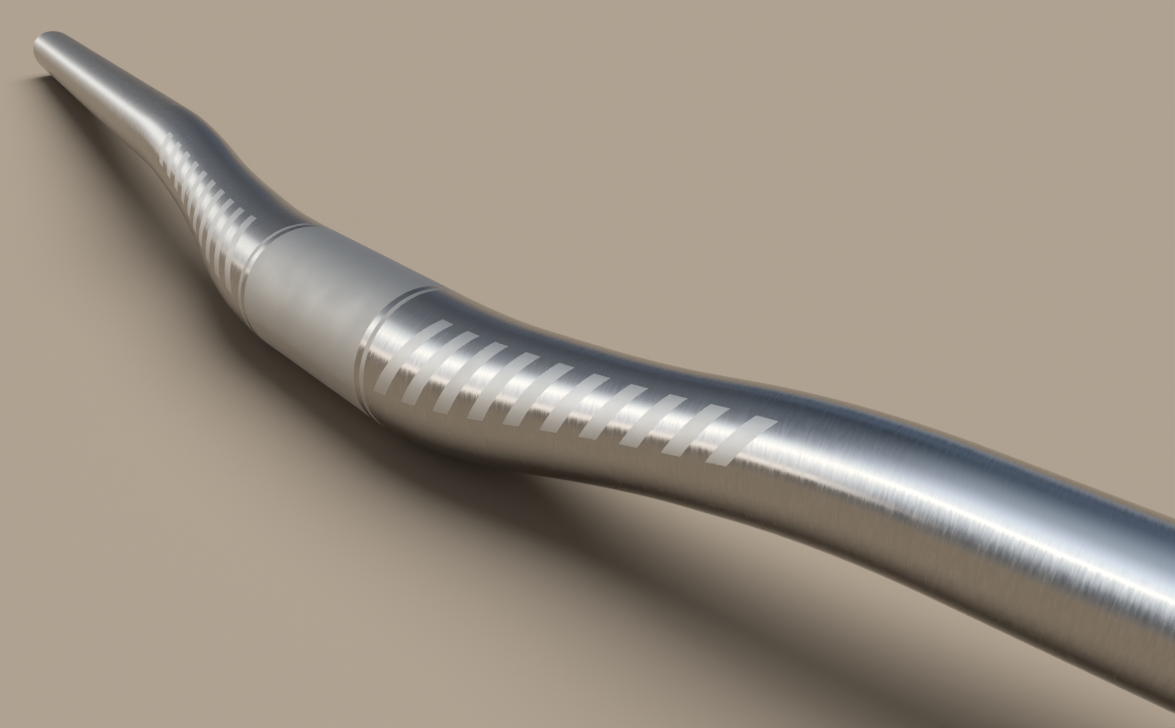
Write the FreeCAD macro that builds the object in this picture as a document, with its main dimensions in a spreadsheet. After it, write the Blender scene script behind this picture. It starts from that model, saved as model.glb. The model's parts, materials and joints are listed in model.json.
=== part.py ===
import FreeCAD, Part

import math
import os

import Sketcher

# Riser handlebar: one butted titanium tube, drawn down from a thick clamp section to thin grips and bent
# twice on each side. The origin is the centre of the clamp section, on the axis of the tube, and X runs
# along the clamp. The tube is drawn as it sits on a bicycle, with its ramps rising towards +Z and its grips
# swept back towards +Y. It is then turned about X until it lies as it does on a table, on the underside of
# its clamp and the ends of its grips.

NODE = "handlebar"

# Lengths in millimetres, angles in degrees.
SIZES = {
    # Between the centres of the two open ends.
    "bar_width": 800.0,
    # The straight, thick middle that a stem holds.
    "clamp_diameter": 31.8,
    "clamp_length": 45.0,
    "clamp_wall": 1.6,
    # The thin ends that carry the grips and levers.
    "grip_diameter": 22.2,
    "grip_wall": 1.1,
    # The inner bend starts at the clamp and lifts the tube into its ramp.
    "inner_bend_radius": 140.0,
    "ramp_angle": 13.0,
    # The diameter shrinks over this length of tube, measured along its axis from the clamp.
    "taper_length": 70.0,
    # Straight tube between the taper and the outer bend.
    "run_out": 8.0,
    # The outer bend turns the ramp into the direction of the grip.
    "outer_bend_radius": 150.0,
    "backsweep": 9.0,
    "upsweep": 4.0,
    # Broken edges at the open ends.
    "end_chamfer": 0.3,
}

# Where the taper's ring sections stand: shares of the inner bend, then of the straight ramp after it.
BEND_STATIONS = (0.0, 0.5, 1.0)
RAMP_STATIONS = (1 / 3, 2 / 3, 1.0)


def make_sheet(doc):
    sheet = doc.addObject("Spreadsheet::Sheet", "sizes")
    for row, (alias, value) in enumerate(SIZES.items(), start=1):
        sheet.set(f"A{row}", alias)
        sheet.set(f"B{row}", str(value))
        sheet.setAlias(f"B{row}", alias)
    doc.recompute()


def make_derived(doc):
    """Values that follow from the sizes: lengths in millimetres, angles in degrees."""
    derived = doc.addObject("App::VarSet", "derived")
    ramp = "sizes.ramp_angle * 1 deg"
    back = "sizes.backsweep * 1 deg"
    up = "sizes.upsweep * 1 deg"
    turn = "derived.outer_turn * 1 deg"
    plane = "derived.plane_turn * 1 deg"
    rules = {
        "bend_arc": "sizes.inner_bend_radius * sizes.ramp_angle * pi / 180",
        "ramp_straight": "sizes.taper_length - derived.bend_arc",
        # The point where the taper ends and the outer path starts.
        "taper_end_x": f"sizes.clamp_length / 2 + sizes.inner_bend_radius * sin({ramp})"
                       f" + derived.ramp_straight * cos({ramp})",
        "taper_end_z": f"sizes.inner_bend_radius * (1 - cos({ramp})) + derived.ramp_straight * sin({ramp})",
        # The grip's direction, seen along the ramp, up from it and to the front of it.
        "grip_along": f"cos({ramp}) * cos({up}) * cos({back}) + sin({ramp}) * sin({up})",
        "grip_upward": f"cos({ramp}) * sin({up}) - sin({ramp}) * cos({up}) * cos({back})",
        "grip_forward": f"-cos({up}) * sin({back})",
        # How far the outer bend turns, and how far its plane is turned about the ramp.
        "outer_turn": "acos(derived.grip_along) / 1 deg",
        "plane_turn": "atan2(derived.grip_forward; derived.grip_upward) / 1 deg",
        # The straight grip reaches from the outer bend to the stated width.
        "outer_bend_reach": f"sizes.outer_bend_radius * (sin({turn}) * cos({ramp})"
                            f" - (1 - cos({turn})) * cos({plane}) * sin({ramp}))",
        "grip_start_x": f"derived.taper_end_x + sizes.run_out * cos({ramp}) + derived.outer_bend_reach",
        "grip_straight": f"(sizes.bar_width / 2 - derived.grip_start_x) / (cos({up}) * cos({back}))",
        # The centre of the grip's end, back from the clamp's axis and above it.
        "grip_wall_end": "derived.grip_straight - sizes.end_chamfer",
        "end_back": f"-sizes.outer_bend_radius * (1 - cos({turn})) * sin({plane})"
                    f" + derived.grip_wall_end * cos({up}) * sin({back})",
        "end_rise": f"derived.taper_end_z + sizes.run_out * sin({ramp}) + sizes.outer_bend_radius"
                    f" * (sin({turn}) * sin({ramp}) + (1 - cos({turn})) * cos({plane}) * cos({ramp}))"
                    f" + derived.grip_wall_end * sin({up})",
        # How far the bar leans back about the clamp when the clamp and both grip ends touch a table.
        "lean": "(atan2(derived.end_rise; derived.end_back)"
                " + asin((sizes.clamp_diameter - sizes.grip_diameter) / 2"
                " / sqrt(derived.end_back ^ 2 + derived.end_rise ^ 2))) / 1 deg",
    }
    for name in rules:
        derived.addProperty("App::PropertyFloat", name)
    for name, rule in rules.items():
        derived.setExpression(name, rule)
    doc.recompute()
    return derived


def bent_path(body, name, plane, placement, lead, radius, turn, straight):
    """A line from the sketch's origin along its X axis, a tangent bend and a tangent line after it."""
    sketch = body.newObject("Sketcher::SketchObject", name)
    sketch.AttachmentSupport = [(plane, "")]
    sketch.MapMode = "FlatFace"
    if placement:
        sketch.setExpression("AttachmentOffset", placement)
    normal = FreeCAD.Vector(0, 0, 1)
    # The path is drawn at rough sizes first, and its constraints then take their own.
    first_lead, first_radius, first_straight, first_turn = 10.0, 100.0, 50.0, math.radians(10)
    corner = FreeCAD.Vector(first_lead, 0, 0)
    bend = Part.Circle(FreeCAD.Vector(first_lead, first_radius, 0), normal, first_radius)
    arc = Part.ArcOfCircle(bend, -math.pi / 2, -math.pi / 2 + first_turn)
    onward = FreeCAD.Vector(math.cos(first_turn), math.sin(first_turn), 0)
    bend_end = arc.EndPoint
    start, turned, end = 0, 1, 2
    sketch.addGeometry(Part.LineSegment(FreeCAD.Vector(0, 0, 0), corner))
    sketch.addGeometry(arc)
    sketch.addGeometry(Part.LineSegment(bend_end, bend_end + onward * first_straight))
    sketch.addConstraint(Sketcher.Constraint("Coincident", start, 1, -1, 1))
    sketch.addConstraint(Sketcher.Constraint("Horizontal", start))
    sketch.addConstraint(Sketcher.Constraint("Tangent", start, 2, turned, 1))
    sketch.addConstraint(Sketcher.Constraint("Tangent", turned, 2, end, 1))
    driven = (
        ("lead", Sketcher.Constraint("Distance", start, first_lead), lead),
        ("bend_radius", Sketcher.Constraint("Radius", turned, first_radius), radius),
        ("turn", Sketcher.Constraint("Angle", end, first_turn), f"{turn} * 1 deg"),
        ("straight", Sketcher.Constraint("Distance", end, first_straight), straight),
    )
    drive(sketch, driven)
    return sketch


def drive(sketch, driven):
    """Add named constraints to a sketch and bind each to its expression."""
    for label, constraint, expression in driven:
        index = sketch.addConstraint(constraint)
        sketch.renameConstraint(index, label)
        sketch.setExpression(f"Constraints.{label}", expression)


def ring(sketch, outer, bore):
    """The tube's section: two circles about the sketch's origin."""
    normal = FreeCAD.Vector(0, 0, 1)
    first_sizes = (("outer", 20.0, outer), ("bore", 15.0, bore))
    for label, diameter, expression in first_sizes:
        circle = sketch.addGeometry(Part.Circle(FreeCAD.Vector(0, 0, 0), normal, diameter / 2))
        sketch.addConstraint(Sketcher.Constraint("Coincident", circle, 3, -1, 1))
        drive(sketch, [(label, Sketcher.Constraint("Diameter", circle, diameter), expression)])


def ring_on_path(body, name, path, edge, share, outer, bore):
    """The tube's section square to one edge of a path, at a share of that edge's length."""
    sketch = body.newObject("Sketcher::SketchObject", name)
    sketch.AttachmentSupport = [(path, edge)]
    sketch.MapMode = "NormalToEdge"
    sketch.MapPathParameter = share
    ring(sketch, outer, bore)
    return sketch


def tapered(share):
    """Outer and bore diameters at a share of the taper: full at 0, grip size at 1, level at both ends."""
    eased = f"(3 * ({share}) ^ 2 - 2 * ({share}) ^ 3)"
    clamp_bore = "(sizes.clamp_diameter - 2 * sizes.clamp_wall)"
    grip_bore = "(sizes.grip_diameter - 2 * sizes.grip_wall)"
    outer = f"sizes.clamp_diameter - (sizes.clamp_diameter - sizes.grip_diameter) * {eased}"
    bore = f"{clamp_bore} - ({clamp_bore} - {grip_bore}) * {eased}"
    return outer, bore


def make_clamp(body, plane):
    section = body.newObject("Sketcher::SketchObject", "clamp_section")
    section.AttachmentSupport = [(plane, "")]
    section.MapMode = "FlatFace"
    ring(section, *tapered("0"))
    clamp = body.newObject("PartDesign::Pad", "clamp")
    clamp.Profile = section
    clamp.SideType = "Symmetric"
    clamp.setExpression("Length", "sizes.clamp_length")


def make_taper(body, plane):
    """The inner bend and the straight ramp, over which the tube is drawn down to the grip's size."""
    path = bent_path(body, "ramp_path", plane, None, "sizes.clamp_length / 2", "sizes.inner_bend_radius",
                     "sizes.ramp_angle", "derived.ramp_straight")
    stations = [("Edge2", share, f"{share} * derived.bend_arc / sizes.taper_length")
                for share in BEND_STATIONS]
    stations += [("Edge3", share,
                  f"(derived.bend_arc + {share} * derived.ramp_straight) / sizes.taper_length")
                 for share in RAMP_STATIONS]
    rings = [ring_on_path(body, f"taper_section_{number}", path, edge, share, *tapered(way))
             for number, (edge, share, way) in enumerate(stations, start=1)]
    taper = body.newObject("PartDesign::AdditivePipe", "taper")
    taper.Profile = (rings[0], [""])
    taper.Spine = (path, ["Edge2", "Edge3"])
    taper.Transformation = "Multisection"
    taper.Sections = [(section, "") for section in rings[1:]]
    return taper


def make_grip(body, plane):
    """The run-out, the outer bend and the straight grip up to its broken end, all at the grip's size."""
    placement = ("placement(vector(derived.taper_end_x; derived.taper_end_z; 0);"
                 " rotation(vector(0; 0; 1); sizes.ramp_angle)"
                 " * rotation(vector(1; 0; 0); derived.plane_turn))")
    path = bent_path(body, "grip_path", plane, placement, "sizes.run_out", "sizes.outer_bend_radius",
                     "derived.outer_turn", "derived.grip_wall_end")
    section = ring_on_path(body, "grip_section", path, "Edge1", 0.0, *tapered("1"))
    grip = body.newObject("PartDesign::AdditivePipe", "grip")
    grip.Profile = (section, [""])
    grip.Spine = (path, ["Edge1", "Edge2", "Edge3"])
    return grip, path


def make_mouth(body, path):
    """The lip of the open end: a short ring whose outer and inner edges are broken."""
    root = ring_on_path(body, "mouth_root", path, "Edge3", 1.0, *tapered("1"))
    lip = ring_on_path(body, "mouth_lip", path, "Edge3", 1.0,
                       "sizes.grip_diameter - 2 * sizes.end_chamfer",
                       "sizes.grip_diameter - 2 * sizes.grip_wall + 2 * sizes.end_chamfer")
    # A ring on a path faces back along it, so the lip lies below its own plane.
    lip.setExpression("AttachmentOffset.Base.z", "-sizes.end_chamfer")
    mouth = body.newObject("PartDesign::AdditiveLoft", "mouth")
    mouth.Profile = (root, [""])
    mouth.Sections = [(lip, [""])]
    mouth.Ruled = True
    return mouth


def make_mirror(body, plane, features):
    mirror = body.newObject("PartDesign::Mirrored", "other_side")
    mirror.Originals = features
    mirror.MirrorPlane = (plane, [""])
    body.Tip = mirror


def check(doc, body):
    failed = [item.Name for item in doc.Objects if {"Invalid", "Error"} & set(item.State)]
    if failed:
        raise RuntimeError(f"failed objects: {failed}")
    if body.Shape.isNull() or not body.Shape.isValid() or len(body.Shape.Solids) != 1:
        raise RuntimeError(f"{body.Label} isn't one valid solid")


def main():
    doc = FreeCAD.newDocument("riser_handlebar")
    make_sheet(doc)
    derived = make_derived(doc)
    body = doc.addObject("PartDesign::Body", NODE)
    body.setExpression("Placement", "placement(vector(0; 0; 0); rotation(vector(1; 0; 0); -derived.lean))")
    planes = {feature.Role: feature for feature in body.Origin.OriginFeatures}
    make_clamp(body, planes["YZ_Plane"])
    taper = make_taper(body, planes["XZ_Plane"])
    grip, grip_path = make_grip(body, planes["XZ_Plane"])
    mouth = make_mouth(body, grip_path)
    make_mirror(body, planes["YZ_Plane"], [taper, grip, mouth])
    doc.recompute()
    check(doc, body)
    box = body.Shape.BoundBox
    print(f"grip straight {derived.grip_straight:.2f}, outer bend {derived.outer_turn:.2f} deg,"
          f" rise {derived.end_rise:.2f}, lean {derived.lean:.2f} deg")
    print(f"size {box.XLength:.2f} x {box.YLength:.2f} x {box.ZLength:.2f}, volume {body.Shape.Volume:.1f}")
    os.makedirs("parts", exist_ok=True)
    body.Shape.exportStep(f"parts/{NODE}.step")


main()
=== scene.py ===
import json
import math
from collections import namedtuple

import bmesh
import bpy
import numpy as np
from mathutils import Matrix, Vector


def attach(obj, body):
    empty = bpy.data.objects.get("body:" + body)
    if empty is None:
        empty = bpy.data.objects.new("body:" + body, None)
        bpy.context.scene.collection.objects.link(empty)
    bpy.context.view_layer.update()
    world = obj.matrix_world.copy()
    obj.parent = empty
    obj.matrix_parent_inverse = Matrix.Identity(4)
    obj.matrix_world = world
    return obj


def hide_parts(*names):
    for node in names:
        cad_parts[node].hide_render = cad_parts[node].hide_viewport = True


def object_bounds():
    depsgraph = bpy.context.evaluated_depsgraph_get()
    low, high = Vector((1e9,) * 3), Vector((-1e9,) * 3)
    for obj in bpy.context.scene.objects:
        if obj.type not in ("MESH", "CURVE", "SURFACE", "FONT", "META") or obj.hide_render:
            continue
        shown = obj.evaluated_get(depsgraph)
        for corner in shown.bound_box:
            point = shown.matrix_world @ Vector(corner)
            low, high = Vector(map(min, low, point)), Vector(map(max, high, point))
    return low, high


# Riser handlebar: one titanium tube, brushed round its girth, with a bead-blasted clamp band between two
# blasted lines and a row of etched bars on each ramp. It lies on a pale floor as it comes to rest.
# Lengths are in metres. Places on the tube are given as the way along its centre line from the middle of
# the clamp, and as the angle round it from the front of the clamp (0) over its top (90 degrees).

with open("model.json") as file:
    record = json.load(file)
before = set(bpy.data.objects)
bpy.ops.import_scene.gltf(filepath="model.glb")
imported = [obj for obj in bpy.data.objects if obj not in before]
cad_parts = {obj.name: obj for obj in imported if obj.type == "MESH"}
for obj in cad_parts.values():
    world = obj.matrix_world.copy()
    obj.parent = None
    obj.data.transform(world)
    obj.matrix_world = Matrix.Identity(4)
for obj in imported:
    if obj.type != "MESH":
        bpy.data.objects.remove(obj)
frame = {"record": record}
cad_low, cad_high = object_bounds()

MM = 0.001
MOUNTS = {mount["name"]: mount for mount in frame["record"]["mounts"]}

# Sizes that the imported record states.
CLAMP_RADIUS = MOUNTS["stem_clamp"]["dims"]["r_mm"] * MM
CLAMP_HALF = MOUNTS["stem_clamp"]["dims"]["length_mm"] * MM / 2
GRIP_RADIUS = MOUNTS["left_grip"]["dims"]["r_mm"] * MM
GRIP_LENGTH = MOUNTS["left_grip"]["dims"]["length_mm"] * MM
GRIP_BORE = MOUNTS["left_end"]["dims"]["r_mm"] * MM
GRIP_ALONG = np.array(MOUNTS["left_grip"]["axis"])

# The other sizes of the tube, as in the part's source.
CLAMP_WALL = 1.6 * MM
INNER_BEND_RADIUS = 140 * MM
RAMP_ANGLE = math.radians(13)
TAPER_LENGTH = 70 * MM
RUN_OUT = 8 * MM
OUTER_BEND_RADIUS = 150 * MM
BACKSWEEP = math.radians(9)
UPSWEEP = math.radians(4)
LIP = 0.3 * MM

# The bar leans back about the clamp: its grips' sweep is turned from the way they point on a bicycle.
SWEEP_UPRIGHT = math.atan2(math.sin(UPSWEEP), math.cos(UPSWEEP) * math.sin(BACKSWEEP))
LEAN = SWEEP_UPRIGHT - math.atan2(GRIP_ALONG[2], GRIP_ALONG[1])
CLAMP_ALONG = np.array([1.0, 0.0, 0.0])
RISE = np.array([0.0, math.sin(LEAN), math.cos(LEAN)])
RAMP_ALONG = math.cos(RAMP_ANGLE) * CLAMP_ALONG + math.sin(RAMP_ANGLE) * RISE
OUTER_TURN = math.acos(RAMP_ALONG @ GRIP_ALONG)
OUTER_TOWARDS = (GRIP_ALONG - math.cos(OUTER_TURN) * RAMP_ALONG) / math.sin(OUTER_TURN)

# Where each stretch of the centre line ends, and the middle of the last one, the grip.
BEND_END = CLAMP_HALF + INNER_BEND_RADIUS * RAMP_ANGLE
TAPER_END = CLAMP_HALF + TAPER_LENGTH
RAMP_END = TAPER_END + RUN_OUT
OUTER_BEND_END = RAMP_END + OUTER_BEND_RADIUS * OUTER_TURN
WALL_END = OUTER_BEND_END + GRIP_LENGTH
GRIP_MIDDLE = (OUTER_BEND_END + WALL_END) / 2

# The finishes, as numbered on the mesh's faces.
BRUSHED, BLASTED, ETCHED, BORE = range(4)

# The blasted clamp band, the polished ring beside it and the blasted line after that.
BAND_HALF = 23.3 * MM
LINE_START = 25.1 * MM
LINE_END = 26.4 * MM

# The row of slanted etched bars on each ramp. Its lengths round the tube are taken at one radius.
BAR_COUNT = 10
BAR_START = 34 * MM
BAR_PITCH = 7.6 * MM
BAR_WIDTH = 3.4 * MM
BAR_SLANT = 0.55
ROW_ANGLE = math.radians(44)
ROW_HALF_START = 8 * MM
ROW_HALF_END = 5 * MM
FLAT_RADIUS = 13 * MM

# The mesh: sides round the tube, steps along it, and the seam where the flat skin closes.
SIDES = 128
FINE_STEP = 1.0 * MM
PLAIN_STEP = 4.0 * MM
BORE_STEP = 4.0 * MM
FULL_TURN = 2 * math.pi
SEAM_ANGLE = math.radians(-90)
SEAM_MARGIN = 1e-4

# How close two places count as one, how exact a cut is, and the decimals of a way along the tube.
SAME_PLACE = 1e-6
CUT_DISTANCE = 1e-8
WAY_DECIMALS = 9

# Steps that the skin's normals are taken over, along the tube and in angle round it.
NORMAL_STEP = 0.02 * MM
NORMAL_TURN = 0.001

# The map for stored textures: stretches of the unrolled skin in rows, each with its share of the height.
# The inside of the tube has a row of its own below them.
TUBE_MAP = "tube"
TEXTURE_MAP = "OFBake"
BENDS_ROW = 0.42
GRIP_ROW = 0.12
INSIDE_ROW = 0.05
MAP_GAP = 0.006
MAP_ROWS = (
    (-OUTER_BEND_END, OUTER_BEND_END, BENDS_ROW),
    (-WALL_END, -GRIP_MIDDLE, GRIP_ROW),
    (-GRIP_MIDDLE, -OUTER_BEND_END, GRIP_ROW),
    (OUTER_BEND_END, GRIP_MIDDLE, GRIP_ROW),
    (GRIP_MIDDLE, WALL_END, GRIP_ROW),
)

# The mesh's layers: each vertex's way along the tube and angle round it, and the two maps.
Layers = namedtuple("Layers", "way angle tube_map texture_map")


# The tube's form

def centre_line(way):
    """Points on the centre line and its directions there, outwards along +X, for ways along it."""
    far = np.abs(way)
    inner = np.clip((far - CLAMP_HALF) / INNER_BEND_RADIUS, 0, RAMP_ANGLE)
    outer = np.clip((far - RAMP_END) / OUTER_BEND_RADIUS, 0, OUTER_TURN)
    straight_ramp = np.clip(far - BEND_END, 0, RAMP_END - BEND_END)
    grip = np.clip(far - OUTER_BEND_END, 0, None)
    shares = (
        (np.minimum(far, CLAMP_HALF) + INNER_BEND_RADIUS * np.sin(inner), CLAMP_ALONG),
        (INNER_BEND_RADIUS * (1 - np.cos(inner)), RISE),
        (straight_ramp + OUTER_BEND_RADIUS * np.sin(outer), RAMP_ALONG),
        (OUTER_BEND_RADIUS * (1 - np.cos(outer)), OUTER_TOWARDS),
        (grip, GRIP_ALONG),
    )
    points = sum(np.outer(length, direction) for length, direction in shares)
    on_clamp = np.outer(np.cos(inner), CLAMP_ALONG) + np.outer(np.sin(inner), RISE)
    on_grip = np.outer(np.cos(outer), RAMP_ALONG) + np.outer(np.sin(outer), OUTER_TOWARDS)
    along = np.where((far > RAMP_END)[:, None], on_grip, on_clamp)
    mirrored = np.where(way < 0, -1.0, 1.0)
    points[:, 0] *= mirrored
    along[:, 1:] *= mirrored[:, None]
    return points, along


def eased(way):
    """How far the taper has gone at these ways: 0 on the clamp, 1 on the grips."""
    share = np.clip((np.abs(way) - CLAMP_HALF) / TAPER_LENGTH, 0, 1)
    return share * share * (3 - 2 * share)


def outer_radius(way):
    return CLAMP_RADIUS + (GRIP_RADIUS - CLAMP_RADIUS) * eased(way)


def bore_radius(way):
    clamp_bore = CLAMP_RADIUS - CLAMP_WALL
    return clamp_bore + (GRIP_BORE - clamp_bore) * eased(way)


def on_tube(way, angle, radius):
    """Points at a radius from the centre line."""
    points, along = centre_line(way)
    upward = np.array([0.0, 0.0, 1.0]) - along[:, 2:] * along
    upward /= np.linalg.norm(upward, axis=1)[:, None]
    forward = np.cross(along, upward)
    outward = np.cos(angle)[:, None] * forward + np.sin(angle)[:, None] * upward
    return points + outward * radius[:, None]


def skin_normals(way, angle):
    """Outward directions of the tube's outer surface, from small steps along it and round it."""
    onward, back = way + NORMAL_STEP, way - NORMAL_STEP
    along = on_tube(onward, angle, outer_radius(onward)) - on_tube(back, angle, outer_radius(back))
    radius = outer_radius(way)
    round_it = on_tube(way, angle + NORMAL_TURN, radius) - on_tube(way, angle - NORMAL_TURN, radius)
    normals = np.cross(along, round_it)
    return normals / np.linalg.norm(normals, axis=1)[:, None]


# The skin, laid out flat

def stations(step_on_bends, step_elsewhere, extra=()):
    """Ways along the tube where the mesh has rings, with those in extra among them."""
    stretches = (
        (0.0, CLAMP_HALF, step_elsewhere),
        (CLAMP_HALF, OUTER_BEND_END, step_on_bends),
        (OUTER_BEND_END, WALL_END, step_elsewhere),
    )
    half = [WALL_END, *extra]
    for start, end, step in stretches:
        half.extend(np.linspace(start, end, math.ceil((end - start) / step), endpoint=False))
    half = np.unique(np.round(half, WAY_DECIMALS))
    return np.concatenate([-half[:0:-1], half])


def flat_skin():
    """The outer surface laid out flat: x is the way along the tube, y the angle times one radius."""
    ways = stations(FINE_STEP, PLAIN_STEP, (BAND_HALF, LINE_START, LINE_END, GRIP_MIDDLE))
    angles = SEAM_ANGLE + np.linspace(0, FULL_TURN, SIDES + 1)
    flat = bmesh.new()
    grid = [[flat.verts.new((way, angle * FLAT_RADIUS, 0)) for angle in angles] for way in ways]
    for here, onward in zip(grid, grid[1:]):
        for side in range(SIDES):
            flat.faces.new((here[side], onward[side], onward[side + 1], here[side + 1]))
    return flat


def cut(flat, inside, point, direction):
    """Cut the faces whose middle is inside along a line of the flat layout."""
    faces = [face for face in flat.faces if inside(face.calc_center_median())]
    edges = {edge for face in faces for edge in face.edges}
    vertices = {vertex for face in faces for vertex in face.verts}
    bmesh.ops.bisect_plane(
        flat, geom=[*faces, *edges, *vertices], dist=CUT_DISTANCE,
        plane_co=(*point, 0), plane_no=(direction[1], -direction[0], 0))


def cut_bars(flat, side):
    """Cut the outlines of one row of bars into the flat skin. side is 1 on +X and -1 on -X."""
    row_end = BAR_START + (BAR_COUNT - 1) * BAR_PITCH + BAR_WIDTH
    middle = ROW_ANGLE * FLAT_RADIUS
    margin = ROW_HALF_START * BAR_SLANT + BAR_WIDTH
    shrink = (ROW_HALF_END - ROW_HALF_START) / (row_end - BAR_START)

    def in_zone(place):
        near = BAR_START - margin < place.x * side < row_end + margin
        return near and abs(place.y - middle) < ROW_HALF_START + BAR_WIDTH

    def in_row(place):
        half = ROW_HALF_START + (place.x * side - BAR_START) * shrink
        return in_zone(place) and abs(place.y - middle) < half

    def on_bar(place):
        level = place.x * side - BAR_SLANT * (place.y - middle) - BAR_START
        number = math.floor(level / BAR_PITCH)
        return in_row(place) and 0 <= number < BAR_COUNT and level - number * BAR_PITCH < BAR_WIDTH

    for edge in (1, -1):
        cut(flat, in_zone, (BAR_START * side, middle + edge * ROW_HALF_START), (side, edge * shrink))
    for number in range(BAR_COUNT):
        for offset in (0, BAR_WIDTH):
            start = BAR_START + number * BAR_PITCH + offset
            cut(flat, in_row, (start * side, middle), (BAR_SLANT * side, 1))
    for face in flat.faces:
        if on_bar(face.calc_center_median()):
            face.material_index = ETCHED


def finish_of_ring(way):
    """The clamp band and the line beside it are blasted, and the rest is brushed."""
    far = abs(way)
    return BLASTED if far < BAND_HALF or LINE_START < far < LINE_END else BRUSHED


def on_map(across, bottom, height, turn):
    """A point on the map for stored textures, at a share of a row's length and of a turn round the tube."""
    return MAP_GAP + across * (1 - 2 * MAP_GAP), bottom + turn * height


def map_skin(flat, layers):
    """Lay the flat skin on both maps. On the tube's own map x is the way along it and y the turns round."""
    rows = []
    bottom = INSIDE_ROW + 2 * MAP_GAP
    for start, end, height in MAP_ROWS:
        rows.append((start, end, bottom, height))
        bottom += height + MAP_GAP
    for face in flat.faces:
        middle = face.calc_center_median().x
        start, end, bottom, height = next(row for row in rows if row[0] < middle < row[1])
        for corner in face.loops:
            way, angle = corner.vert.co.x, corner.vert.co.y / FLAT_RADIUS
            corner[layers.tube_map].uv = way, angle / FULL_TURN
            across = (way - start) / (end - start)
            turn = (angle - SEAM_ANGLE) / FULL_TURN
            corner[layers.texture_map].uv = on_map(across, bottom, height, turn)


# The whole tube

def rolled_skin():
    """The outer surface with its finishes and maps, rolled up from the flat. Returns the layers as well."""
    mesh = flat_skin()
    for face in mesh.faces:
        face.material_index = finish_of_ring(face.calc_center_median().x)
    for side in (1, -1):
        cut_bars(mesh, side)
    layers = Layers(
        way=mesh.verts.layers.float.new("way"),
        angle=mesh.verts.layers.float.new("angle"),
        tube_map=mesh.loops.layers.uv.new(TUBE_MAP),
        texture_map=mesh.loops.layers.uv.new(TEXTURE_MAP))
    map_skin(mesh, layers)
    skin = list(mesh.verts)
    ways = np.array([vertex.co.x for vertex in skin])
    angles = np.array([vertex.co.y for vertex in skin]) / FLAT_RADIUS
    places = on_tube(ways, angles, outer_radius(ways))
    for vertex, way, angle, place in zip(skin, ways, angles, places):
        vertex.co = place
        vertex[layers.way], vertex[layers.angle] = way, angle
    bmesh.ops.remove_doubles(mesh, verts=mesh.verts, dist=SAME_PLACE)
    return mesh, layers


def values_of(vertices, layer):
    return np.array([vertex[layer] for vertex in vertices])


def turn_of(vertex, layers):
    """The share of a turn from the seam. The small margin keeps the seam itself at the start."""
    return (vertex[layers.angle] - SEAM_ANGLE + SEAM_MARGIN) / FULL_TURN % 1


def new_ring(mesh, layers, way, angles, radius):
    """A ring of new vertices at one way along the tube and one radius."""
    places = on_tube(np.full(SIDES, way), angles, np.full(SIDES, radius))
    ring = [mesh.verts.new(place) for place in places]
    for vertex, angle in zip(ring, angles):
        vertex[layers.way], vertex[layers.angle] = way, angle
    return ring


def mouth(mesh, layers, side):
    """The rings of one open end: from the skin's last, over both broken lips, to the bore's first."""
    last = [vertex for vertex in mesh.verts if abs(vertex[layers.way] - side * WALL_END) < SAME_PLACE]
    last.sort(key=lambda vertex: turn_of(vertex, layers))
    angles = values_of(last, layers.angle)
    wall = side * WALL_END
    tip = side * (WALL_END + LIP)
    lips = ((tip, GRIP_RADIUS - LIP), (tip, GRIP_BORE + LIP), (wall, GRIP_BORE))
    return [last, *(new_ring(mesh, layers, way, angles, radius) for way, radius in lips)]


def bore_rings(mesh, layers, angles):
    """The rings of the bore between the two mouths, from +X to -X."""
    ways = stations(BORE_STEP, BORE_STEP)[-2:0:-1]
    return [new_ring(mesh, layers, way, angles, radius) for way, radius in zip(ways, bore_radius(ways))]


def join_rings(mesh, rings, material):
    """Faces between each two rings of vertices in turn."""
    for here, onward in zip(rings, rings[1:]):
        for side in range(SIDES):
            beside = (side + 1) % SIDES
            face = mesh.faces.new((here[side], here[beside], onward[beside], onward[side]))
            face.material_index = material


def map_inside(faces, rings, layers):
    """Lay the lips and the bore on both maps, ring by ring. A face over the seam ends past a full turn."""
    number_of = {vertex: number for number, ring in enumerate(rings) for vertex in ring}
    half_turn = 1 / 2
    for face in faces:
        turns = [turn_of(corner.vert, layers) for corner in face.loops]
        over_seam = max(turns) - min(turns) > half_turn
        for corner, turn in zip(face.loops, turns):
            if over_seam and turn < half_turn:
                turn += 1
            corner[layers.tube_map].uv = corner.vert[layers.way], turn + SEAM_ANGLE / FULL_TURN
            across = number_of[corner.vert] / (len(rings) - 1)
            corner[layers.texture_map].uv = on_map(across, MAP_GAP, INSIDE_ROW, turn)


def sharpen(rings):
    """Make the edges along these rings sharp."""
    for ring in rings:
        members = set(ring)
        for vertex in ring:
            for edge in vertex.link_edges:
                if edge.other_vert(vertex) in members:
                    edge.smooth = False


def set_skin_normals(data, skin_faces, exact):
    """Exact normals on the outer surface, so that the bars' outlines leave no mark on its gloss."""
    vertices = np.zeros(len(data.loops), np.int32)
    data.loops.foreach_get("vertex_index", vertices)
    last_face = data.polygons[skin_faces - 1]
    skin_corners = last_face.loop_start + last_face.loop_total
    # A corner whose normal is zero keeps its own.
    normals = np.zeros((len(data.loops), 3))
    normals[:skin_corners] = exact[vertices[:skin_corners]]
    data.normals_split_custom_set(normals)


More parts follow.
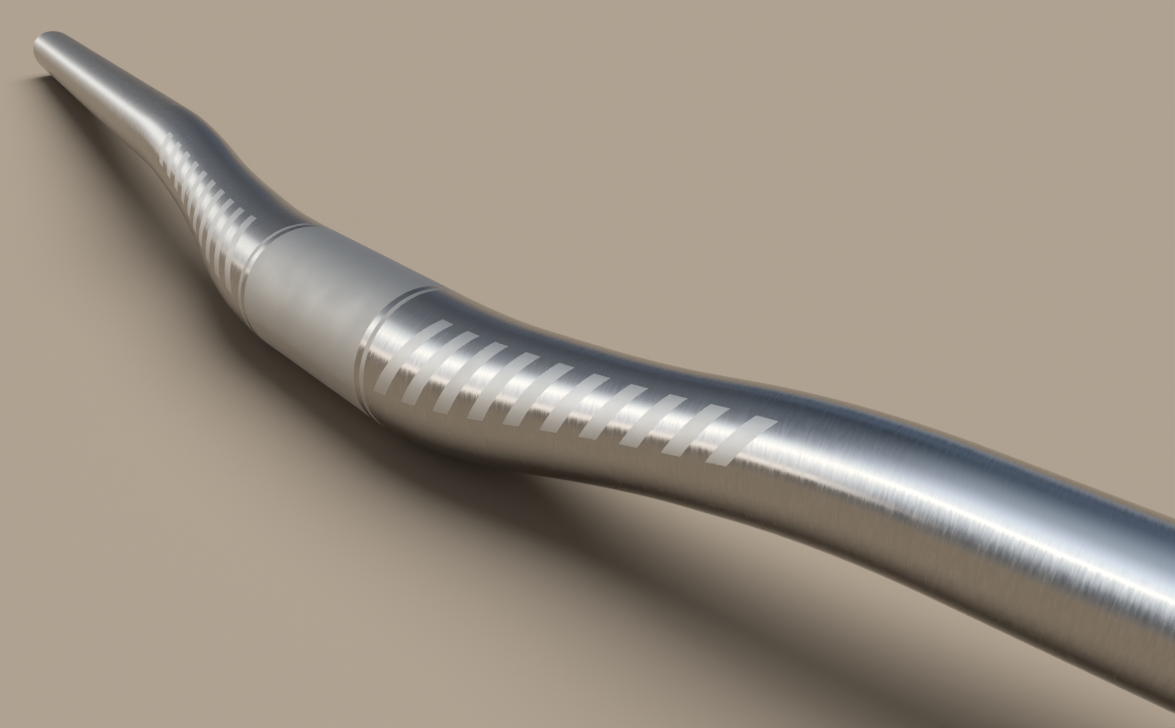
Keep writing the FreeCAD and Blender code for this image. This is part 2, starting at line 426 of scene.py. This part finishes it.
def build_tube():
    """The skin, both mouths and the bore, as one closed mesh."""
    mesh, layers = rolled_skin()
    skin_faces = len(mesh.faces)
    left = mouth(mesh, layers, 1)
    right = mouth(mesh, layers, -1)
    bore = bore_rings(mesh, layers, values_of(left[0], layers.angle))
    join_rings(mesh, left, BRUSHED)
    join_rings(mesh, [left[-1], *bore, right[-1]], BORE)
    join_rings(mesh, right[::-1], BRUSHED)
    mesh.faces.ensure_lookup_table()
    map_inside(mesh.faces[skin_faces:], [*left, *bore, *right[::-1]], layers)
    bmesh.ops.recalc_face_normals(mesh, faces=mesh.faces)
    sharpen([*left, *right])
    for face in mesh.faces:
        face.smooth = True
    exact = skin_normals(values_of(mesh.verts, layers.way), values_of(mesh.verts, layers.angle))
    data = bpy.data.meshes.new("handlebar_tube")
    mesh.to_mesh(data)
    mesh.free()
    set_skin_normals(data, skin_faces, exact)
    tube = bpy.data.objects.new("handlebar_tube", data)
    bpy.context.scene.collection.objects.link(tube)
    return tube


# Shader nodes

def put(tree, socket, value):
    """Link a socket to another, or set its value."""
    if isinstance(value, bpy.types.NodeSocket):
        tree.links.new(value, socket)
    else:
        socket.default_value = value


def worked_out(tree, kind, operation, values):
    """The outputs of a node that does a sum with values or sockets."""
    node = tree.nodes.new(kind)
    node.operation = operation
    for socket, value in zip(node.inputs, values):
        put(tree, socket, value)
    return node.outputs


def sums(tree, operation, *values):
    return worked_out(tree, "ShaderNodeMath", operation, values)["Value"]


def vectors(tree, operation, *values):
    return worked_out(tree, "ShaderNodeVectorMath", operation, values)["Vector"]


def dot(tree, vector, axis):
    return worked_out(tree, "ShaderNodeVectorMath", "DOT_PRODUCT", (vector, axis))["Value"]


def scaled(tree, vector, amount):
    node = tree.nodes.new("ShaderNodeVectorMath")
    node.operation = "SCALE"
    put(tree, node.inputs[0], vector)
    put(tree, node.inputs["Scale"], amount)
    return node.outputs["Vector"]


def between(tree, value, low, high, start=0.0, end=1.0):
    """A value between start and end, mapped to low and high."""
    node = tree.nodes.new("ShaderNodeMapRange")
    for socket, given in zip(node.inputs, (value, start, end, low, high)):
        put(tree, socket, given)
    return node.outputs[0]


def noise(tree, vector, scale=1.0, detail=2.0, rough=0.5):
    node = tree.nodes.new("ShaderNodeTexNoise")
    put(tree, node.inputs["Vector"], vector)
    node.inputs["Scale"].default_value = scale
    node.inputs["Detail"].default_value = detail
    node.inputs["Roughness"].default_value = rough
    return node.outputs[0]


def shades(tree, share, low, high):
    """A colour between two, by a share."""
    node = tree.nodes.new("ShaderNodeMix")
    node.data_type = "RGBA"
    put(tree, node.inputs["Factor"], share)
    for name, colour in (("A", low), ("B", high)):
        put(tree, node.inputs[name], (*colour, 1) if isinstance(colour, tuple) else colour)
    return node.outputs["Result"]


def bump(tree, height, depth, normal=None):
    """The normal of a surface with heights of such a depth, over the surface's own normal or another."""
    node = tree.nodes.new("ShaderNodeBump")
    node.inputs["Distance"].default_value = depth
    put(tree, node.inputs["Height"], height)
    if normal is not None:
        put(tree, node.inputs["Normal"], normal)
    return node.outputs[0]


# Materials

# The middle of a noise's range, which is spread over the whole of what it drives.
NOISE_MIDDLE = 0.3, 0.7

# The brushed skin: how many hairs and broader laps a metre of tube has, the units of noise round it, and
# how far they sway along it. A pair of colours or of roughnesses is the two ends of a range.
HAIRS_ALONG = 2900
HAIRS_ROUND = 4.0
HAIR_SWAY = 0.9 * MM
HAIR_FINENESS = 0.6
HAIR_DEPTH = 0.0020 * MM
LAPS_ALONG = 420
LAPS_ROUND = 1.5
LAP_SWAY = -0.7 * MM
LAP_SHARE = 0.08
STROKE_TILT = 0.011
BRUSH_SPREAD = 0.7
BRUSHED_COLOURS = (0.42, 0.40, 0.37), (0.50, 0.475, 0.435)
BRUSHED_ROUGHNESS = 0.17, 0.28

# The matt finishes: grains and soft clouds to the metre.
GRAINS = 5200
GRAIN_FINENESS = 0.6
GRAIN_DEPTH = 0.02 * MM
CLOUDS = 110
CLOUD_DETAIL = 4.0
BLASTED_COLOURS = (0.475, 0.445, 0.398), (0.525, 0.493, 0.443)
BLASTED_ROUGHNESS = 0.70, 0.62
ETCHED_COLOURS = (0.54, 0.515, 0.47), (0.58, 0.555, 0.51)
ETCHED_ROUGHNESS = 0.56, 0.50

# The bore: long marks along the tube.
MARKS_ALONG = 18
MARKS_ROUND = 14.0
MARK_DETAIL = 3.0
MARK_DEPTH = 0.02 * MM
BORE_COLOURS = (0.34, 0.33, 0.31), (0.46, 0.45, 0.43)
BORE_ROUGHNESS = 0.42, 0.58


def metal(name, anisotropy=0.0):
    material = bpy.data.materials.new(name)
    material.use_nodes = True
    tree = material.node_tree
    inputs = tree.nodes["Principled BSDF"].inputs
    inputs["Metallic"].default_value = 1.0
    inputs["Anisotropic"].default_value = anisotropy
    return material, tree, inputs


def tube_place(tree):
    """The way along the tube, and the cosine and sine of the angle round it."""
    place = tree.nodes.new("ShaderNodeUVMap")
    place.uv_map = TUBE_MAP
    split = tree.nodes.new("ShaderNodeSeparateXYZ")
    tree.links.new(place.outputs[0], split.inputs[0])
    angle = sums(tree, "MULTIPLY", split.outputs[1], FULL_TURN)
    return split.outputs[0], sums(tree, "COSINE", angle), sums(tree, "SINE", angle)


def stretched(tree, place, along, round_it, sway=0.0):
    """Texture coordinates with so many features a metre along the tube and so many units round it."""
    way, cosine, sine = place
    if sway:
        way = sums(tree, "MULTIPLY_ADD", sine, sway, way)
    joined = tree.nodes.new("ShaderNodeCombineXYZ")
    put(tree, joined.inputs[0], sums(tree, "MULTIPLY", way, along))
    put(tree, joined.inputs[1], sums(tree, "MULTIPLY", cosine, round_it))
    put(tree, joined.inputs[2], sums(tree, "MULTIPLY", sine, round_it))
    return joined.outputs[0]


def tilted(tree, tangent, amount):
    """The surface's normal, tilted round the tube by an amount."""
    normal = tree.nodes.new("ShaderNodeNewGeometry").outputs["Normal"]
    round_it = vectors(tree, "CROSS_PRODUCT", normal, tangent)
    return vectors(tree, "NORMALIZE", vectors(tree, "ADD", normal, scaled(tree, round_it, amount)))


def brushed_titanium():
    """Fine strokes round the tube. Each tilts the surface a little, so that reflections end in a fringe."""
    material, tree, inputs = metal("titanium_brushed", BRUSH_SPREAD)
    place = tube_place(tree)
    tangent = tree.nodes.new("ShaderNodeTangent")
    tangent.direction_type = "UV_MAP"
    tangent.uv_map = TUBE_MAP
    hairs = noise(tree, stretched(tree, place, HAIRS_ALONG, HAIRS_ROUND, HAIR_SWAY), rough=HAIR_FINENESS)
    laps = noise(tree, stretched(tree, place, LAPS_ALONG, LAPS_ROUND, LAP_SWAY))
    mixed = sums(tree, "MULTIPLY_ADD", laps, LAP_SHARE, sums(tree, "MULTIPLY", hairs, 1 - LAP_SHARE))
    share = between(tree, mixed, 0.0, 1.0, *NOISE_MIDDLE)
    strokes = tilted(tree, tangent.outputs[0], between(tree, share, -STROKE_TILT, STROKE_TILT))
    put(tree, inputs["Base Color"], shades(tree, share, *BRUSHED_COLOURS))
    put(tree, inputs["Roughness"], between(tree, share, *BRUSHED_ROUGHNESS))
    put(tree, inputs["Normal"], bump(tree, hairs, HAIR_DEPTH, strokes))
    put(tree, inputs["Tangent"], tangent.outputs[0])
    return material


def matt_titanium(name, colours, roughness):
    """Matt grains in soft clouds, which blasting and etching leave."""
    material, tree, inputs = metal(name)
    place = tree.nodes.new("ShaderNodeTexCoord").outputs["Object"]
    grains = noise(tree, place, GRAINS, rough=GRAIN_FINENESS)
    clouds = between(tree, noise(tree, place, CLOUDS, CLOUD_DETAIL), 0.0, 1.0, *NOISE_MIDDLE)
    put(tree, inputs["Base Color"], shades(tree, clouds, *colours))
    put(tree, inputs["Roughness"], between(tree, clouds, *roughness))
    put(tree, inputs["Normal"], bump(tree, grains, GRAIN_DEPTH))
    return material


def blasted_titanium():
    return matt_titanium("titanium_blasted", BLASTED_COLOURS, BLASTED_ROUGHNESS)


def etched_titanium():
    return matt_titanium("titanium_etched", ETCHED_COLOURS, ETCHED_ROUGHNESS)


def bore_titanium():
    """The marks that drawing the tube leaves inside it."""
    material, tree, inputs = metal("titanium_bore")
    marks = noise(tree, stretched(tree, tube_place(tree), MARKS_ALONG, MARKS_ROUND), detail=MARK_DETAIL)
    put(tree, inputs["Base Color"], shades(tree, marks, *BORE_COLOURS))
    put(tree, inputs["Roughness"], between(tree, marks, *BORE_ROUGHNESS, *NOISE_MIDDLE))
    put(tree, inputs["Normal"], bump(tree, marks, MARK_DEPTH))
    return material


# The stage

# The camera, where the photograph was taken from.
PHOTO_WIDTH = 1175
FOCAL_PIXELS = 873.2
SENSOR = 36.0
CAMERA_PLACE = Vector((161.13, -84.73, 94.35)) * MM
CAMERA_AZIMUTH = math.radians(-45.85)
CAMERA_ELEVATION = math.radians(-31.48)
CAMERA_ROLL = math.radians(-1.29)
NEAREST_SEEN, FARTHEST_SEEN = 0.005, 100

FLOOR_COLOUR = (0.43, 0.36, 0.285)
FLOOR_HALF = 30.0
FLOOR_ROUGHNESS = 0.9
FLOOR_GLOSS = 0.0

# A broad soft lamp overhead and an even fill light the floor as its colour is written.
KEY_LIGHT = 0.87
FILL_LIGHT = 0.13
KEY_SPREAD = math.radians(56)
KEY_ELEVATION = math.radians(64)

# What the metal reflects: one soft band of light along the bar over the viewer's shoulder, in a dim room.
# The band runs towards the far end, turned by these angles from -X towards +Y and from there upwards.
BAND_AZIMUTH = math.radians(7)
BAND_ELEVATION = math.radians(-8)

# Each entry of the room is an angle round the band's direction in degrees, from the near horizon (0) over
# the top (90), and the light from there. These are the ones above the band.
ROOM_ABOVE = (
    (62, (1.55, 1.73, 1.97)),
    (74, (1.03, 1.19, 1.48)),
    (90, (0.57, 0.68, 0.88)),
    (104, (0.43, 0.54, 0.71)),
    (116, (0.29, 0.375, 0.52)),
    (130, (0.175, 0.245, 0.375)),
    (153, (0.12, 0.175, 0.28)),
    (165, (0.36, 0.42, 0.53)),
    (172, (0.38, 0.38, 0.39)),
    (180, FLOOR_COLOUR),
)
# Beside the near grip the band has a bright line in it and fades out below.
ROOM_NEAR = (
    (-180, FLOOR_COLOUR),
    (2, FLOOR_COLOUR),
    (6, (0.35, 0.34, 0.33)),
    (17, (0.21, 0.23, 0.27)),
    (26, (0.33, 0.38, 0.46)),
    (34, (0.86, 0.98, 1.15)),
    (42, (1.30, 1.45, 1.65)),
    (48, (1.65, 1.78, 1.94)),
    (51, (2.05, 2.12, 2.20)),
    (53, (3.90, 3.90, 3.75)),
    (55, (2.10, 2.20, 2.32)),
    *ROOM_ABOVE,
)
# From the ramps on, it is wider and ends below in a narrow warm edge.
ROOM_MIDDLE = (
    (-180, FLOOR_COLOUR),
    (0, FLOOR_COLOUR),
    (6, (0.36, 0.31, 0.265)),
    (18.5, (0.28, 0.24, 0.21)),
    (20, (2.40, 2.28, 2.16)),
    (25, (2.45, 2.38, 2.36)),
    (27, (1.22, 1.22, 1.30)),
    (38, (1.66, 1.76, 1.93)),
    (43, (1.93, 2.01, 2.09)),
    (49, (2.50, 2.54, 2.52)),
    (54, (2.10, 2.19, 2.28)),
    *ROOM_ABOVE,
)
# Straight along the bar the room ends in a paler lower wall, and the band is higher.
ROOM_END = (
    (-180, FLOOR_COLOUR),
    (18, (0.50, 0.435, 0.37)),
    (36, (0.79, 0.79, 0.79)),
    (50, (1.12, 1.13, 1.13)),
    (58, (1.46, 1.48, 1.50)),
    (65, (2.04, 2.06, 2.08)),
    (74, (0.67, 0.68, 0.69)),
    (90, (0.27, 0.275, 0.285)),
    (120, (0.19, 0.19, 0.195)),
    (150, (0.12, 0.12, 0.125)),
    (180, FLOOR_COLOUR),
)

# Each change along the bar runs between two shares, which say how much of a direction is along it. The end
# of the room takes over from the rest of it as far as END_SHARE.
MIDDLE_FROM, MIDDLE_FULL = -0.12, -0.06
END_FROM, END_FULL = 0.45, 0.98
END_SHARE = 0.8
# What is below the band rises towards the far end. The rise fades out between these angles round the bar.
RISE_FROM, RISE_FULL = 0.1, 0.65
EDGE_RISE = math.radians(5)
BELOW_BAND = math.radians(36), math.radians(48)
# What is above it is dimmer towards the far end. That comes in and goes out between these angles.
DIMMED_FROM, DIMMED_FULL = -0.22, 0.24
NEAR_LEVEL, FAR_LEVEL = 1.36, 0.42
ABOVE_BAND = math.radians(57), math.radians(70)
BEYOND_TOP = math.radians(130), math.radians(142)
# Low round the room its wall is of the floor's colour, up to these heights of a direction.
WALL_TOP, WALL_FADED = 0.04, 0.15


def build_floor():
    corners = [(x * FLOOR_HALF, y * FLOOR_HALF, cad_low.z) for x, y in ((-1, -1), (1, -1), (1, 1), (-1, 1))]
    data = bpy.data.meshes.new("floor")
    data.from_pydata(corners, [], [(0, 1, 2, 3)])
    floor = bpy.data.objects.new("floor", data)
    bpy.context.scene.collection.objects.link(floor)
    material = bpy.data.materials.new("floor")
    material.use_nodes = True
    inputs = material.node_tree.nodes["Principled BSDF"].inputs
    inputs["Base Color"].default_value = (*FLOOR_COLOUR, 1)
    inputs["Roughness"].default_value = FLOOR_ROUGHNESS
    inputs["Specular IOR Level"].default_value = FLOOR_GLOSS
    data.materials.append(material)


def build_key():
    """The lamp. The metal doesn't mirror it, because the room has its own band of light."""
    data = bpy.data.lights.new("key", "SUN")
    data.angle = KEY_SPREAD
    data.energy = KEY_LIGHT * math.pi / math.sin(KEY_ELEVATION)
    key = bpy.data.objects.new("key", data)
    key.rotation_euler = (KEY_ELEVATION - math.pi / 2, 0, 0)
    key.visible_glossy = False
    bpy.context.scene.collection.objects.link(key)


def light_by_angle(tree, angle, lights):
    """A colour ramp over one turn round the bar. Its new stops are put in their places afterwards."""
    ramp = tree.nodes.new("ShaderNodeValToRGB")
    put(tree, ramp.inputs[0], between(tree, angle, 0.0, 1.0, -math.pi, math.pi))
    stops = ramp.color_ramp.elements
    while len(stops) < len(lights):
        stops.new(position=0.5)
    for stop, (degrees, light) in zip(stops, lights):
        stop.position = (math.radians(degrees) + math.pi) / FULL_TURN
        stop.color = (*light, 1)
    return ramp.outputs[0]


def room_light(tree):
    """The light that the metal reflects from each direction of the room."""
    turned = Matrix.Rotation(-BAND_AZIMUTH, 3, "Z") @ Matrix.Rotation(BAND_ELEVATION, 3, "Y")
    pole = turned @ Vector((-1, 0, 0))
    upward = (Vector((0, 0, 1)) - pole.z * pole).normalized()
    nearward = upward.cross(pole)
    towards = tree.nodes.new("ShaderNodeTexCoord").outputs["Generated"]
    angle = sums(tree, "ARCTAN2", dot(tree, towards, upward), dot(tree, towards, nearward))
    along = dot(tree, towards, pole)
    height = dot(tree, towards, (0, 0, 1))

    below = between(tree, angle, EDGE_RISE, 0.0, *BELOW_BAND)
    rise = sums(tree, "MULTIPLY", below, between(tree, along, 0.0, 1.0, RISE_FROM, RISE_FULL))
    near = light_by_angle(tree, angle, ROOM_NEAR)
    middle = light_by_angle(tree, sums(tree, "SUBTRACT", angle, rise), ROOM_MIDDLE)
    room = shades(tree, between(tree, along, 0.0, 1.0, MIDDLE_FROM, MIDDLE_FULL), near, middle)

    above = sums(tree, "MULTIPLY", between(tree, angle, 0.0, 1.0, *ABOVE_BAND),
                 between(tree, angle, 1.0, 0.0, *BEYOND_TOP))
    dimming = between(tree, along, NEAR_LEVEL, FAR_LEVEL, DIMMED_FROM, DIMMED_FULL)
    room = shades(tree, above, room, scaled(tree, room, dimming))

    room = shades(tree, between(tree, height, 1.0, 0.0, WALL_TOP, WALL_FADED), room, FLOOR_COLOUR)
    endward = between(tree, along, 0.0, END_SHARE, END_FROM, END_FULL)
    return shades(tree, endward, room, light_by_angle(tree, angle, ROOM_END))


def build_room():
    """The metal reflects the room. The camera sees a plain backdrop, and all else has the even fill."""
    world = bpy.data.worlds.new("studio")
    bpy.context.scene.world = world
    world.use_nodes = True
    tree = world.node_tree
    path = tree.nodes.new("ShaderNodeLightPath").outputs
    mirrored = sums(tree, "MAXIMUM", path["Is Glossy Ray"], path["Is Transmission Ray"])
    fill = (FILL_LIGHT, FILL_LIGHT, FILL_LIGHT)
    backdrop = shades(tree, path["Is Camera Ray"], fill, FLOOR_COLOUR)
    put(tree, tree.nodes["Background"].inputs["Color"], shades(tree, mirrored, backdrop, room_light(tree)))


def build_camera():
    data = bpy.data.cameras.new("camera")
    data.sensor_width = SENSOR
    data.lens = SENSOR * FOCAL_PIXELS / PHOTO_WIDTH
    data.clip_start = NEAREST_SEEN
    data.clip_end = FARTHEST_SEEN
    camera = bpy.data.objects.new("camera", data)
    bpy.context.scene.collection.objects.link(camera)
    level = math.pi / 2
    turned = (Matrix.Rotation(-CAMERA_AZIMUTH, 4, "Z") @ Matrix.Rotation(level + CAMERA_ELEVATION, 4, "X")
              @ Matrix.Rotation(CAMERA_ROLL, 4, "Z"))
    camera.matrix_world = Matrix.Translation(CAMERA_PLACE) @ turned
    bpy.context.scene.camera = camera


bpy.context.scene.view_settings.view_transform = "Standard"
tube = build_tube()
# The materials follow the numbers of the finishes.
for material in (brushed_titanium(), blasted_titanium(), etched_titanium(), bore_titanium()):
    tube.data.materials.append(material)
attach(tube, "root")
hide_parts("handlebar")
build_floor()
build_key()
build_room()
build_camera()
